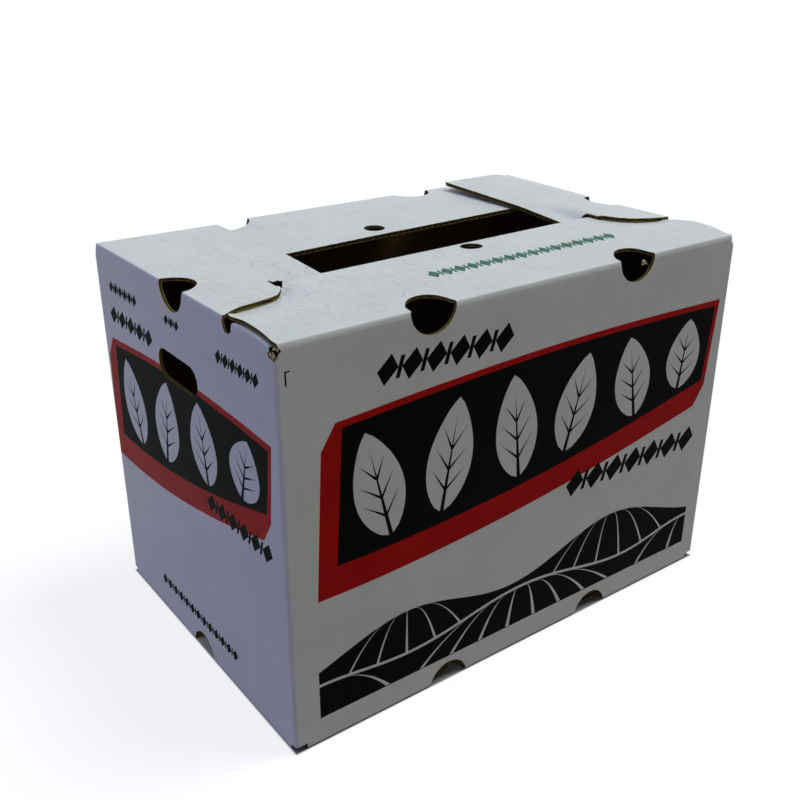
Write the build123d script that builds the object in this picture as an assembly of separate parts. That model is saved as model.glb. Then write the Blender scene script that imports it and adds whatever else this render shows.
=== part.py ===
# Vented produce carton, folded from one piece of corrugated board.
# The bottom is glued. On top, two long and two short flaps are interlocked: the near
# long flap lies on the short ones, and its ends dive under a tongue cut in each.
# X runs along the carton, the front is at -Y, and Z = 0 is the floor.
from build123d import *
import os

# Outside sizes of the closed carton, over its creases
length = 533.4
width = 355.6
height = 381.0

# Board and creases
board = 4.5
inner_crease = 1.5
clearance = 0.5
crease = board + inner_crease
lap = board + clearance
top_band = crease + lap + 3.0
bottom_band = crease + 1.0

# Top flaps: how far each reaches in from its wall, and where its ends stop
near_reach = 132.0
far_reach = 133.0
left_reach = 131.0
right_reach = 104.0
near_end_gap = 3.0
far_end_gap = board + 2.5
front_slot = 10.0
left_back_slot = crease
right_back_slot = 16.0

# Bottom flaps: the short ones lie inside, glued on the long ones
seam_gap = 2.0
bottom_slot = 8.0
bottom_end_gap = 12.0
bottom_short_reach = 177.0

# Slit in each short flap, as (from the end wall, from the front wall)
slit_points = ((0.0, 81.0), (22.0, 93.0), (45.0, 101.0), (72.0, 116.0), (79.0, 128.0))
slit_hole_width = 9.0
slit_hole_length = 20.0
slit_hole_back = 9.0
notch_width = 9.0
notch_drop = 12.0
notch_run = 13.0

# Ends of the near flap: an ear goes through each slit, inside the end wall
ear_shoulder = 79.0
ear_inset = 16.0

# Where the flaps bend: the near one from its crease, the short ones behind the slit
near_rise_at = 24.0
near_crown_at = 50.0
settle = 75.0

# Heights of the flaps' outer faces over the creases
near_rise = 3.5
near_crown = 4.4
near_end = 0.5
near_edge_left = -0.4
near_edge_right = 3.0
tongue_left = (0.0, 1.5, 2.0, 0.4)
tongue_right = (2.0, 2.8, 4.8, 7.5)
strip_sag = 3.0
strip_sag_at_slit = 5.3
left_edge = -0.6
right_crease_back = 6.3
right_spring = 3.5
right_edge_middle = 4.5
right_edge_back = 10.0
far_edge_middle = -3.0
far_edge_right = -0.9
far_end_right = -2.2

# Holes
vent_radius = 23.5
vent_from_end = 146.0
bottom_vent_radius = 22.0
bottom_vent_from_end = 170.0
bottom_vent_drop = 2.0
finger_hole_radius = 11.0
near_hole_at = (17.0, 118.0)
far_hole_at = (-7.0, 110.0)
hand_hole_length = 80.0
hand_hole_width = 28.0
hand_hole_drop = 79.0

slit_start = slit_points[0][1]
slit_end, slit_depth = slit_points[-1]
cross_start = slit_end - slit_hole_width / 2
cross_end = slit_end + slit_hole_width / 2
slit_turns = [e for e, y in slit_points[1:-1]]
tongue_bends = [crease, *slit_turns[:-1], cross_start]
slit_bends = [ear_inset, *slit_turns, cross_start]
free_depth = near_reach + 1.0
tool_reach = 60.0


def along(value, knots):
    """Height at value on the line through knots of (position, height)."""
    for (start, low), (stop, high) in zip(knots, knots[1:]):
        if value <= stop:
            share = max(0.0, (value - start) / (stop - start))
            return low + share * (high - low)
    return knots[-1][1]


# A place on each wall: s along it, d in from its outer face, at height z
def front_wall(s, d, z):
    return Vector(s, d - width / 2, z)


def back_wall(s, d, z):
    return Vector(s, width / 2 - d, z)


def left_wall(s, d, z):
    return Vector(d - length / 2, s, z)


def right_wall(s, d, z):
    return Vector(length / 2 - d, s, z)


def section(place, s, depths, top, band):
    """Outline of a flap, its crease and the strip of wall under it, at s along the wall."""
    rise = top(s, crease)
    outer = [place(s, d, top(s, d)) for d in depths]
    inner = [place(s, d, top(s, d) - board) for d in depths]
    shy = 1 - 0.5 ** 0.5
    outer_foot = place(s, 0, rise - crease)
    inner_foot = place(s, board, rise - crease)
    outer_bend = place(s, crease * shy, rise - crease * shy)
    inner_bend = place(s, board + inner_crease * shy, rise - board - inner_crease * shy)
    return Wire([
        Line(place(s, 0, -band), outer_foot),
        ThreePointArc(outer_foot, outer_bend, outer[0]),
        *Polyline(*outer, *reversed(inner)).edges(),
        ThreePointArc(inner[0], inner_bend, inner_foot),
        *Polyline(inner_foot, place(s, board, -band), place(s, 0, -band)).edges(),
    ])


def top_flap(wall, stations, depths, top):
    """A flap folded in from the top of a wall, bent at its stations and depths."""
    def place(s, d, h):
        return wall(s, d, height + h)

    return Solid.make_loft([section(place, s, depths(s), top, top_band) for s in stations], True)


def bottom_flap(wall, end, reach, step):
    """A flap folded in from the foot of a wall, lying a step above the floor."""
    def place(s, d, h):
        return wall(s, d, -h)

    def top(s, d):
        return along(d, ((crease, 0.0), (bottom_end_gap, -step)))

    depths = [crease, bottom_end_gap, reach]
    return Solid.make_loft([section(place, s, depths, top, bottom_band) for s in (-end, end)], True)


def wall_hole(wall, s, z, radius):
    """The half of a hole across a crease that lies in the wall."""
    inward = wall(s, 1, z) - wall(s, 0, z)
    return Solid.make_cylinder(radius, crease + 1, Plane(wall(s, -1, z), z_dir=inward))


def flap_hole(wall, s, d, radius, low, high):
    """A hole through a flap, from height low to height high."""
    return Solid.make_cylinder(radius, high - low, Plane(wall(s, d, low), z_dir=(0, 0, 1)))


def finger_hole(wall, s, d):
    return flap_hole(wall, s, d, finger_hole_radius, height - top_band, height + top_band)


def top_vent(wall, s, fold, dip):
    """A vent across a crease at height fold over the others, which dips at one side of it."""
    low = height + fold - dip - crease
    in_flap = flap_hole(wall, s, 0, vent_radius, low, height + 2 * top_band)
    return [wall_hole(wall, s, height + fold, vent_radius), in_flap]


def bottom_vent(wall, s):
    in_flap = flap_hole(wall, s, bottom_vent_drop, bottom_vent_radius, -board, 3 * board)
    return [wall_hole(wall, s, -bottom_vent_drop, bottom_vent_radius), in_flap]


def plan(e, y):
    """A point of the plan, from the left end wall and the front wall."""
    return (e - length / 2, y - width / 2)


def upright(sketch):
    """A sketch of the plan, drawn right through the top flaps."""
    return extrude(Pos(0, 0, height - 2 * top_band) * sketch, 4 * top_band)


def block(e_low, y_low, e_high, y_high):
    corners = [plan(e_low, y_low), plan(e_high, y_low), plan(e_high, y_high), plan(e_low, y_high)]
    return upright(make_face(Polyline(*corners, close=True)))


def slit_side(y_side):
    """All that lies on one side of the left slit, out to y_side from the front wall."""
    curve = Spline(*[plan(e, y) for e, y in slit_points])
    inward = plan(slit_end + tool_reach, slit_depth)
    outward = plan(-tool_reach, slit_start)
    edge = plan(0, y_side)[1]
    rim = Polyline(curve @ 1, inward, (inward[0], edge), (outward[0], edge), outward, curve @ 0)
    return upright(make_face([curve, *rim.edges()]))


def slit_holes():
    """The opening at the inner end of the left slit, and its notch over the crease."""
    end_x, end_y = plan(slit_end, slit_depth + slit_hole_back - slit_hole_length / 2)
    end_hole = Pos(end_x, end_y) * SlotOverall(slit_hole_length, slit_hole_width, rotation=90)
    run_x, notch_y = plan(notch_run, slit_start + notch_width / 3)
    over = Pos(run_x - tool_reach / 2, notch_y) * SlotOverall(tool_reach, notch_width)
    face = Plane(left_wall(notch_y, -1, height - notch_drop), x_dir=(0, 1, 0), z_dir=(1, 0, 0))
    down = face * Pos(0, tool_reach / 2) * SlotOverall(tool_reach, notch_width, rotation=90)
    return [upright(end_hole), upright(over), extrude(down, crease + 1)]


def from_end(x):
    return length / 2 - abs(x)


def from_front(y):
    return y + width / 2


def tongue_top(tongue, edge, e):
    """A short flap along its slit: a raised tongue, then pressed down by the near flap."""
    return along(e, [*zip(tongue_bends, tongue), (cross_end, edge - lap)])


def near_top(x, d):
    """The near flap: sprung up from its crease, its ears one board below the tongues."""
    tongue, edge = (tongue_left, near_edge_left) if x < 0 else (tongue_right, near_edge_right)
    e = from_end(x)
    under = [(bend, tongue_top(tongue, edge, bend) - lap) for bend in slit_bends]
    passing = along(e, [(near_end_gap, near_end), *under, (cross_end, edge)])
    spring = [(crease, 0.0), (near_rise_at, near_rise), (near_crown_at, near_crown)]
    return along(d, [*spring, (along(e, slit_points), passing)])


def strip_top(side, y, e):
    """The strip of a short flap in front of its slit, pressed down by the near flap."""
    d = from_front(y)
    sag = along(d, ((near_crown_at, strip_sag), (slit_start, strip_sag_at_slit)))
    if e <= crease and d > near_crown_at:
        return -sag
    return min(-sag, near_top(side * (length / 2 - e), d) - lap)


def left_top(y, e):
    rest = along(e, ((crease, 0.0), (left_reach, left_edge)))
    fade = along(from_front(y), ((free_depth, 1.0), (free_depth + settle, 0.0)))
    return rest + fade * (tongue_top(tongue_left, near_edge_left, e) - rest)


def right_top(y, e):
    d = from_front(y)
    back = width - right_back_slot
    fold = along(d, ((free_depth, tongue_right[0]), (back, right_crease_back)))
    edge = along(d, ((free_depth + settle, right_edge_middle), (back, right_edge_back)))
    rest = along(e, ((crease, fold), (slit_bends[1], fold + right_spring), (right_reach, edge)))
    fade = along(d, ((free_depth, 1.0), (free_depth + settle, 0.0)))
    return rest + fade * (tongue_top(tongue_right, near_edge_right, e) - rest)


def far_top(x, d):
    """The far flap, lowest of the four: pressed flat by the left flap, free elsewhere."""
    pressed = left_edge - lap
    left_flap_end = left_reach + clearance - length / 2
    vent_end = vent_from_end + vent_radius - length / 2
    right_flap_end = length / 2 - right_reach
    right_end = length / 2 - far_end_gap
    fold = along(x, ((left_flap_end, pressed), (vent_end, 0.0)))
    free = ((left_flap_end, pressed), (0.0, far_edge_middle), (right_flap_end, far_edge_right))
    edge = along(x, (*free, (right_end, far_end_right)))
    return along(d, ((crease, fold), (far_reach, edge)))


def top_vents():
    """The top vents: the wall, the place along it, the fold's height there and its dip."""
    left, right = vent_from_end - length / 2, length / 2 - vent_from_end
    pressed = far_top(left, crease)
    dip = pressed - far_top(left - vent_radius, crease)
    vents = [(front_wall, left, 0.0, 0.0), (front_wall, right, 0.0, 0.0)]
    vents += [(back_wall, left, pressed, dip), (back_wall, right, 0.0, 0.0)]
    return vents + [(left_wall, 0, left_top(0, crease), 0.0), (right_wall, 0, right_top(0, crease), 0.0)]


def vents_of(wall):
    return [hole for vent in top_vents() if vent[0] is wall for hole in top_vent(*vent)]


def near_flap():
    bends = [near_end_gap, *slit_bends, cross_end]
    stations = [e - length / 2 for e in bends] + [length / 2 - e for e in reversed(bends)]

    def depths(x):
        return [crease, near_rise_at, near_crown_at, along(from_end(x), slit_points), near_reach]

    flap = top_flap(front_wall, stations, depths, near_top) - vents_of(front_wall)
    flap -= finger_hole(front_wall, *near_hole_at)
    beside_ear = block(-tool_reach, ear_shoulder, ear_inset, near_reach + tool_reach)
    corner_slot = block(-tool_reach, -tool_reach, crease, crease)
    return flap - [beside_ear, corner_slot, mirror(beside_ear, Plane.YZ), mirror(corner_slot, Plane.YZ)]


def far_flap():
    stops = (far_end_gap, left_reach + clearance, vent_from_end + vent_radius)
    stations = [e - length / 2 for e in stops]
    stations += [0.0, length / 2 - right_reach, length / 2 - far_end_gap]
    flap = top_flap(back_wall, stations, lambda x: [crease, far_reach], far_top)
    return flap - vents_of(back_wall) - finger_hole(back_wall, *far_hole_at)


def short_flap(wall, side, reach, back_slot, top):
    """A short flap: the tongue and what lies behind it, and the strip in front of its slit."""
    def local(y):
        return y - width / 2

    tools = [slit_side(-tool_reach), slit_side(width + tool_reach), *slit_holes()]
    if side > 0:
        tools = [mirror(tool, Plane.YZ) for tool in tools]
    ahead, behind, *holes = tools
    bends = [crease, *slit_bends, cross_end]
    main_stops = (slit_start - 1, free_depth, free_depth + settle, width - back_slot)
    main = top_flap(wall, [local(y) for y in main_stops], lambda y: [*bends, reach], top)
    strip_stops = [front_slot, near_rise_at, near_crown_at, *[y for e, y in slit_points[1:]]]
    strip = top_flap(wall, [local(y) for y in strip_stops], lambda y: [*bends, reach],
                     lambda y, e: strip_top(side, y, e))
    flap = (main - ahead) + (strip - behind)
    return flap - holes - vents_of(wall)


def walls():
    """The four walls, from the strips of the bottom flaps up to those of the top flaps."""
    outside = Rectangle(length, width)
    outside = fillet(outside.vertices(), crease)
    inside = Rectangle(length - 2 * board, width - 2 * board)
    inside = fillet(inside.vertices(), inner_crease)
    ring = extrude(Pos(0, 0, bottom_band) * (outside - inside), height - top_band - bottom_band)
    for wall, s, fold, dip in top_vents():
        ring -= wall_hole(wall, s, height + fold, vent_radius)
    for side in (-1, 1):
        low_vent = side * (length / 2 - bottom_vent_from_end)
        for wall, s in ((front_wall, low_vent), (back_wall, low_vent), (left_wall, 0), (right_wall, 0)):
            ring -= wall_hole(wall, s, -bottom_vent_drop, bottom_vent_radius)
    hand_hole = Plane.YZ * Pos(0, height - hand_hole_drop) * SlotOverall(hand_hole_length, hand_hole_width)
    return ring - extrude(hand_hole, length, both=True)


def bottom():
    """The glued bottom: short flaps inside, on long flaps that meet at a seam."""
    flaps = []
    for wall in (front_wall, back_wall):
        flap = bottom_flap(wall, length / 2 - bottom_end_gap, (width - seam_gap) / 2, 0.0)
        for side in (-1, 1):
            flap -= bottom_vent(wall, side * (length / 2 - bottom_vent_from_end))
        flaps.append(flap)
    for wall in (left_wall, right_wall):
        flap = bottom_flap(wall, width / 2 - bottom_slot, bottom_short_reach, board)
        flaps.append(flap - bottom_vent(wall, 0))
    return flaps


def carton():
    left = short_flap(left_wall, -1, left_reach, left_back_slot, left_top)
    right = short_flap(right_wall, 1, right_reach, right_back_slot, right_top)
    return walls() + [near_flap(), far_flap(), left, right, *bottom()]


os.makedirs("parts", exist_ok=True)
export_step(carton(), "parts/carton.step")
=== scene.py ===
# Vented produce carton, folded from one piece of white-faced corrugated board.
import bpy
import math
import random
from functools import partial
import numpy as np
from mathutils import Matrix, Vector, noise
from mathutils.geometry import delaunay_2d_cdt
from mathutils.kdtree import KDTree


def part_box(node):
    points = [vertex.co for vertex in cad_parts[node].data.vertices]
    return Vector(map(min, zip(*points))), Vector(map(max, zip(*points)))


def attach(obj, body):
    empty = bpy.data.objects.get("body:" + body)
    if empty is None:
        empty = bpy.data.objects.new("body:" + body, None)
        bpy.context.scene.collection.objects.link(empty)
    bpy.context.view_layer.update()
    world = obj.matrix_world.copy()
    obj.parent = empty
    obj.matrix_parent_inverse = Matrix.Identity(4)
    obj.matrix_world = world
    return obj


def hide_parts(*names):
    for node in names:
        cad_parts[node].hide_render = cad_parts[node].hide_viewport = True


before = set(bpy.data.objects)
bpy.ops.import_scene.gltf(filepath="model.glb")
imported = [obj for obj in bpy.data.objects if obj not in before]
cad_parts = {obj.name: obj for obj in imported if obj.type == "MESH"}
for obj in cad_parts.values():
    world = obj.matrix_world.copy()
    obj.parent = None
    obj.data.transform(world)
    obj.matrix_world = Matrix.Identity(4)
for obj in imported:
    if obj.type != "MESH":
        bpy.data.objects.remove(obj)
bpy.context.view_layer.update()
mm = 0.001
boxLow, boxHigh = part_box("carton")
length = (boxHigh[0] - boxLow[0]) / mm
width = (boxHigh[1] - boxLow[1]) / mm
print("frame loaded, carton", round(length, 1), "by", round(width, 1), "mm")


# Camera: the place and angle that the photograph was taken from
camera = {
    "lens": 43.90,
    "place": (-0.5801, -0.7550, 0.6279),
    "azimuth": 36.39,  # turned from +Y towards +X
    "elevation": -23.97,
}


def addObject(name, data):
    thing = bpy.data.objects.new(name, data)
    bpy.context.scene.collection.objects.link(thing)
    return thing


def addCamera():
    data = bpy.data.cameras.new("Camera")
    data.lens = camera["lens"]
    data.sensor_width = 36
    eye = addObject("Camera", data)
    turn, tilt = math.radians(camera["azimuth"]), math.radians(camera["elevation"])
    look = Vector((math.sin(turn) * math.cos(tilt), math.cos(turn) * math.cos(tilt), math.sin(tilt)))
    eye.location = camera["place"]
    eye.rotation_mode = "QUATERNION"
    eye.rotation_quaternion = look.to_track_quat("-Z", "Y")
    bpy.context.scene.camera = eye


addCamera()

# Carton: the sizes that every panel shares, in millimetres
carton = {
    "height": 381.0,  # over the creases
    "board": 4.5,
    "clearance": 0.5,
    "crease": 6.0,  # how far every fold reaches from its corner
    "foldRadius": 3.4,  # outer radius of the corners and of the bottom folds
    "creaseRadius": 1.3,  # of the top folds, whose walls lean in by creaseLean degrees just below them
    "creaseLean": 20.0, "bend": (0.42, 0.67),  # their bend starts and ends at these shares of their girth
    "crush": 0.4,  # how much thinner the knife left the board at its cut edges
    "topBand": 14.0,  # how far the corner slots run down the walls
    "bottomBand": 7.0,
    "liner": 0.6,
    "recess": 3.4,  # how far the space between the liners is open at a cut edge
    "warp": 0.5, "warpFade": 50.0, "warpSize": (90.0, 130.0),  # how far the walls wander inwards
    "grid": 8.0,  # spacing of the mesh on the walls
    "flapGrid": 5.0, "spare": 1.8,  # free points keep this far from cuts and prints
}
height, board, crease = carton["height"], carton["board"], carton["crease"]
lap = board + carton["clearance"]

# Top flaps: reach, end gaps, the slit and notch in the short ones, and heights over the creases
flaps = {
    "nearReach": 132.0, "farReach": 133.0, "leftReach": 131.0, "rightReach": 104.0,
    "nearEndGap": 3.0, "farEndGap": 7.0,
    "frontSlot": 10.0, "leftBackSlot": 6.0, "rightBackSlot": 16.0,
    "slit": ((0.0, 79.0), (5.0, 82.5), (12.0, 86.0), (20.0, 88.0), (32.0, 89.0), (45.0, 91.0),
             (53.0, 94.0), (60.0, 98.5), (66.0, 105.0), (72.0, 114.0), (79.0, 128.0)),
    "bends": (22.0, 45.0, 72.0),  # where the tongue bends, from the end
    "slitGap": 0.8, "slitStep": 2.125, "slitHole": (9.0, 20.0), "slitHoleBack": 9.0,
    "notchWidth": (15.0, 8.0), "notchBack": (-4.8, 2.7), "notchDrop": 12.0, "notchRun": 13.0,
    "earInset": 16.0,
    "earCorner": ((3.0, 71.0), (6.0, 82.0), (10.0, 87.5), (16.0, 91.0)),  # from the end and from the front
    "nearRiseAt": 24.0, "nearCrownAt": 50.0, "settle": 75.0,
    "nearRise": 3.5, "nearCrown": 4.4, "nearEnd": 0.5,
    "nearEdge": (-0.4, 3.0), "tongue": ((0.0, 1.5, 2.0, 0.4), (2.0, 2.8, 4.8, 7.5)),
    "stripSag": 0.4, "stripSagAtSlit": 1.8, "leftEdge": -0.6,
    "rightCreaseBack": 6.3, "rightSpring": 3.5, "rightEdgeMiddle": 4.5, "rightEdgeBack": 10.0,
    "farEdgeMiddle": -3.0, "farEdgeRight": -0.9, "farEndRight": -2.2,
    "softE": 3.0, "softD": 5.0,  # how far each bend is spread, across and along the crease
    "cornerCut": ((0.0, -13.0), (7.0, -10.0), (10.0, -5.0)),  # end panels' corner slots, from the corner
    "tornCut": ((0.0, -12.0), (2.2, -10.4), (3.4, -11.4), (5.6, -8.6), (8.6, -9.2), (8.9, -6.4),
                (10.6, -5.2), (8.4, -3.0), (9.6, -0.6)),  # the torn one
    "frontCut": ((0.0, -12.0), (1.4, -10.8), (2.4, -11.6), (4.0, -8.0), (6.3, -6.4),
                 (4.2, -3.6), (3.2, -1.0)),  # the front wall's side of it
    "relief": ((0.5, 76.0), (2.0, 81.0), (5.0, 82.6), (12.0, 86.1), (17.0, 87.4), (15.0, 80.0), (9.0, 74.0)),
    "tear": ((71.0, 121.5), (73.0, 140.0), (79.0, 144.0), (88.0, 149.0), (93.0, 143.0),
             (91.0, 131.0), (78.0, 122.0)),
    "nick": ((-203.0, 137.0), (-201.0, 125.0), (-188.3, 123.0), (-182.0, 133.5), (-184.0, 137.0)),
    "crush": {"ear": 1.6, "notch": 2.4, "tear": 3.2, "slit": 0.6},
}
slitStart, slitEnd, slitDepth = flaps["slit"][0][1], *flaps["slit"][-1]
crossStart, crossEnd = slitEnd - flaps["slitHole"][0] / 2, slitEnd + flaps["slitHole"][0] / 2
tongueBends = [crease, *flaps["bends"][:-1], crossStart]
slitBends = [flaps["earInset"], *flaps["bends"], crossStart]
freeDepth = flaps["nearReach"] + 1.0

# Bottom flaps: the short ones lie inside, glued on the long ones
base = {"seamGap": 2.0, "slot": 8.0, "endGap": 12.0, "shortReach": 177.0}
seamReach = (width - base["seamGap"]) / 2

# Holes through the board
holes = {
    "vent": 23.5, "ventFromEnd": 146.0,
    "lowVent": 22.0, "lowVentFromEnd": 170.0, "lowVentDrop": 2.0,
    "finger": 11.0, "nearFinger": (17.0, 118.0), "farFinger": (-7.0, 110.0),
    "hand": (80.0, 28.0), "handHeight": 302.0,
    "crush": 1.5,
}


def along(value, knots):
    for (start, low), (stop, high) in zip(knots, knots[1:]):
        if value <= stop:
            share = max(0.0, (value - start) / (stop - start))
            return low + share * (high - low)
    return knots[-1][1]


def spaced(start, stop, step):
    count = max(1, round(abs(stop - start) / step))
    return [start + (stop - start) * i / count for i in range(count + 1)]


def tongueTop(side, e):
    return along(e, [*zip(tongueBends, flaps["tongue"][side]), (crossEnd, flaps["nearEdge"][side] - lap)])


def nearTop(x, d):
    # The near flap: straight between its ends, which dive under the tongues
    reach = length / 2 - crossEnd
    if abs(x) < reach:
        left, right = nearTop(-reach, d), nearTop(reach, d)
        return left + (right - left) * (x + reach) / (2 * reach)
    side = 0 if x < 0 else 1
    e = length / 2 - abs(x)
    under = [(bend, tongueTop(side, bend) - lap) for bend in slitBends]
    passing = along(e, [(flaps["nearEndGap"], flaps["nearEnd"]), *under, (crossEnd, flaps["nearEdge"][side])])
    spring = [(crease, 0.0), (flaps["nearRiseAt"], flaps["nearRise"])]
    spring.append((flaps["nearCrownAt"], flaps["nearCrown"]))
    return along(d, [*spring, (along(e, flaps["slit"]), passing)])


def farTop(x, d):
    pressed = flaps["leftEdge"] - lap
    leftEnd = flaps["leftReach"] + carton["clearance"] - length / 2
    ventEnd = holes["ventFromEnd"] + holes["vent"] - length / 2
    rightStart = length / 2 - flaps["rightReach"]
    fold = along(x, ((leftEnd, pressed), (ventEnd, 0.0)))
    free = ((leftEnd, pressed), (0.0, flaps["farEdgeMiddle"]), (rightStart, flaps["farEdgeRight"]))
    edge = along(x, (*free, (length / 2 - flaps["farEndGap"], flaps["farEndRight"])))
    return along(d, ((crease, fold), (flaps["farReach"], edge)))


def mainTop(side, f, e):
    fade = along(f, ((freeDepth, 1.0), (freeDepth + flaps["settle"], 0.0)))
    if side == 0:
        rest = along(e, ((crease, 0.0), (flaps["leftReach"], flaps["leftEdge"])))
    else:
        back = width - flaps["rightBackSlot"]
        fold = along(f, ((freeDepth, flaps["tongue"][1][0]), (back, flaps["rightCreaseBack"])))
        settled = (freeDepth + flaps["settle"], flaps["rightEdgeMiddle"])
        edge = along(f, (settled, (back, flaps["rightEdgeBack"])))
        spring = (slitBends[1], fold + flaps["rightSpring"])
        rest = along(e, ((crease, fold), spring, (flaps["rightReach"], edge)))
    return rest + fade * (tongueTop(side, e) - rest)


def stripTop(side, f, e):
    sag = along(f, ((flaps["nearCrownAt"], flaps["stripSag"]), (slitStart, flaps["stripSagAtSlit"])))
    if e <= crease and f > flaps["nearCrownAt"]:
        return -sag
    x = (length / 2 - e) * (1 if side else -1)
    top = min(-sag, nearTop(x, f) - lap)
    join = along(e, ((slitEnd, 0.0), (crossEnd, 1.0)))
    join *= along(f, ((slitDepth - flaps["slitHole"][1], 0.0), (slitDepth, 1.0)))
    return top + join * (mainTop(side, slitDepth, e) - top)


# Panels: each wall with its two flaps, drawn flat as (across, up), folded by foldPoint
panels = [
    {"name": name, "start": start, "span": span, "half": half,
     "run": Vector(run), "out": Vector(out), "side": side}
    for name, start, span, half, run, out, side in (
        ("front", 0, length, width / 2, (1, 0, 0), (0, -1, 0), None),
        ("right", length, width, length / 2, (0, 1, 0), (1, 0, 0), 1),
        ("back", length + width, length, width / 2, (-1, 0, 0), (0, 1, 0), None),
        ("left", 2 * length + width, width, length / 2, (0, -1, 0), (-1, 0, 0), 0),
    )
]
softened = {}


def flapTop(panel, across, d, strip):
    name = panel["name"]
    if name == "front":
        return nearTop(across, d)
    if name == "back":
        return farTop(-across, d)
    f = width / 2 + across * (1 if panel["side"] else -1)
    if strip:
        return stripTop(panel["side"], f, d)
    return mainTop(panel["side"], f, d)


def softTop(panel, across, d, up):
    # The height with each bend spread a little, as stiff board bends
    strip = False
    reachE, reachD = flaps["softE"], flaps["softD"]
    if panel["side"] is not None:
        f = width / 2 + across * (1 if panel["side"] else -1)
        strip = f < along(up - height, flaps["slit"])
        reachE, reachD = reachD, reachE
    key = (panel["name"], strip, round(across, 3), round(d, 3))
    if key not in softened:
        total = 0.0
        for i in (-1, -0.5, 0.5, 1):
            for j in (-1, -0.5, 0.5, 1):
                total += flapTop(panel, across + i * reachE, max(crease, d + j * reachD), strip)
        softened[key] = total / 16
    return softened[key]


def warpAt(panel, across, up):
    # How far a wall wanders inwards: nothing at its folds, a part of a millimetre between them
    edge = min(panel["span"] / 2 - abs(across), up, height - up)
    spread = max(0.0, min(1.0, (edge - 2 * crease) / carton["warpFade"]))
    wide, tall = carton["warpSize"]
    wander = noise.noise(Vector(((panel["start"] + across) / wide, up / tall, 0.5)))
    return carton["warp"] * (0.5 + 0.5 * max(-1.0, min(1.0, 1.6 * wander))) * spread


def turned(at, w, outerRadius):
    # Where a fold puts a point, at 0 to 1 of its girth: in from the face, and on along it
    centre = outerRadius + (crease - outerRadius) * w / board
    radius = centre - w
    angle = math.pi / 2 * min(1.0, max(0.0, 1.5 * at - 0.25))
    depth, shift = centre - radius * math.cos(angle), radius * math.sin(angle) - centre
    flat = 6 * (crease - centre)
    return depth + flat * max(0.0, at - 5 / 6), shift - flat * max(0.0, 1 / 6 - at)


def creased(at, w):
    # The same for a top fold: outside, a leaning shoulder and a sharp crease
    radius, lean = carton["creaseRadius"], math.radians(carton["creaseLean"])
    drop = crease - radius + radius * math.sin(lean)
    inset = math.tan(lean) * drop / 2
    centre = inset + radius * math.cos(lean)
    inner = turned(at, board, crease)
    start, stop = carton["bend"]
    if at < start:
        share = at / start
        outer = (inset * share ** 2, drop * share - crease)
    elif at < stop:
        angle = lean + (math.pi / 2 - lean) * (at - start) / (stop - start)
        outer = (centre - radius * math.cos(angle), radius * math.sin(angle) - radius)
    else:
        outer = (centre + (crease - centre) * (at - stop) / (1 - stop), 0.0)
    return [a + (b - a) * w / board for a, b in zip(outer, inner)]


def foldPoint(panel, across, up, w):
    # A point of the flat panel, w into the board, on the folded carton
    edge = panel["span"] / 2
    depth, shift = w, 0.0
    corner = carton["foldRadius"]
    if up > height - crease:
        if up < height + crease:
            depth, shift = creased((up - height + crease) / (2 * crease), w)
            z = height + softTop(panel, across, crease, up) + shift
        else:
            depth = up - height
            z = height + softTop(panel, across, depth, up) - w
    elif up < crease:
        step = board if panel["side"] is not None else 0.0
        if up > -crease:
            depth, shift = turned((crease - up) / (2 * crease), w, corner)
            z = -shift
        else:
            depth = -up
            z = w + step * along(depth, ((crease, 0.0), (base["endGap"], 1.0)))
    else:
        band = height - carton["topBand"]
        z = up
        depth += warpAt(panel, across, up)
        if up > band:
            z += softTop(panel, across, crease, up) * (up - band) / (carton["topBand"] - crease)
        if abs(across) > edge - crease:
            depth, shift = turned((abs(across) - edge + crease) / (2 * crease), w, corner)
            across = math.copysign(edge + shift, across)
    place = panel["run"] * across + panel["out"] * (panel["half"] - depth)
    return Vector((place.x, place.y, z)) * mm


def circle(x, y, radius, steps=40):
    turns = [2 * math.pi * i / steps for i in range(steps)]
    return [(x + radius * math.cos(turn), y + radius * math.sin(turn)) for turn in turns]


def stadium(x, y, long, wide, upright=False):
    half = (long - wide) / 2
    points = []
    for end in (1, -1):
        for i in range(11):
            turn = math.pi * (i / 10 - 0.5)
            points.append((end * (half + wide / 2 * math.cos(turn)), end * wide / 2 * math.sin(turn)))
    return [(x + q, y + p) if upright else (x + p, y + q) for p, q in points]


def slitSliver():
    # The cut of the slit, as (from the front, from the end)
    edge = [(along(e, flaps["slit"]), e) for e in spaced(-crease, slitEnd, flaps["slitStep"])]
    gap = flaps["slitGap"] / 2
    return [(f - gap, e) for f, e in edge] + [(f + gap, e) for f, e in reversed(edge)]


def longPanelShape(reach, endGap, finger, ear):
    # The panel's outline, and its cuts with how much each crushed the board
    half = length / 2
    gap, low = base["endGap"], carton["bottomBand"]
    foot = [(gap, -seamReach), (gap, low), (0.0, low)]
    plain = [(0.0, height + flaps["cornerCut"][0][1]), (crease, height - crease - 0.5)]
    plain.append((crease, height + crease))
    ripped = [(e, height + up) for e, up in flaps["frontCut"]] if ear else plain
    top = [(e, height + d) for e, d in flaps["earCorner"]] if ear else [(endGap, height + crease)]
    top.append((top[-1][0], height + reach))
    outline = [(half - e, y) for e, y in foot + plain + top]
    outline += [(e - half, y) for e, y in reversed(foot + ripped + top)]
    rounds = [circle(finger[0], height + finger[1], holes["finger"], 28)]
    for end in (-1, 1):
        rounds.append(circle(end * (half - holes["ventFromEnd"]), height, holes["vent"]))
        rounds.append(circle(end * (half - holes["lowVentFromEnd"]), -holes["lowVentDrop"], holes["lowVent"]))
    cuts = [(ring, holes["crush"]) for ring in rounds]
    if ear:
        cuts.append(([(x, height + d) for x, d in flaps["nick"]], flaps["crush"]["tear"]))
    return outline, cuts


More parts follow.
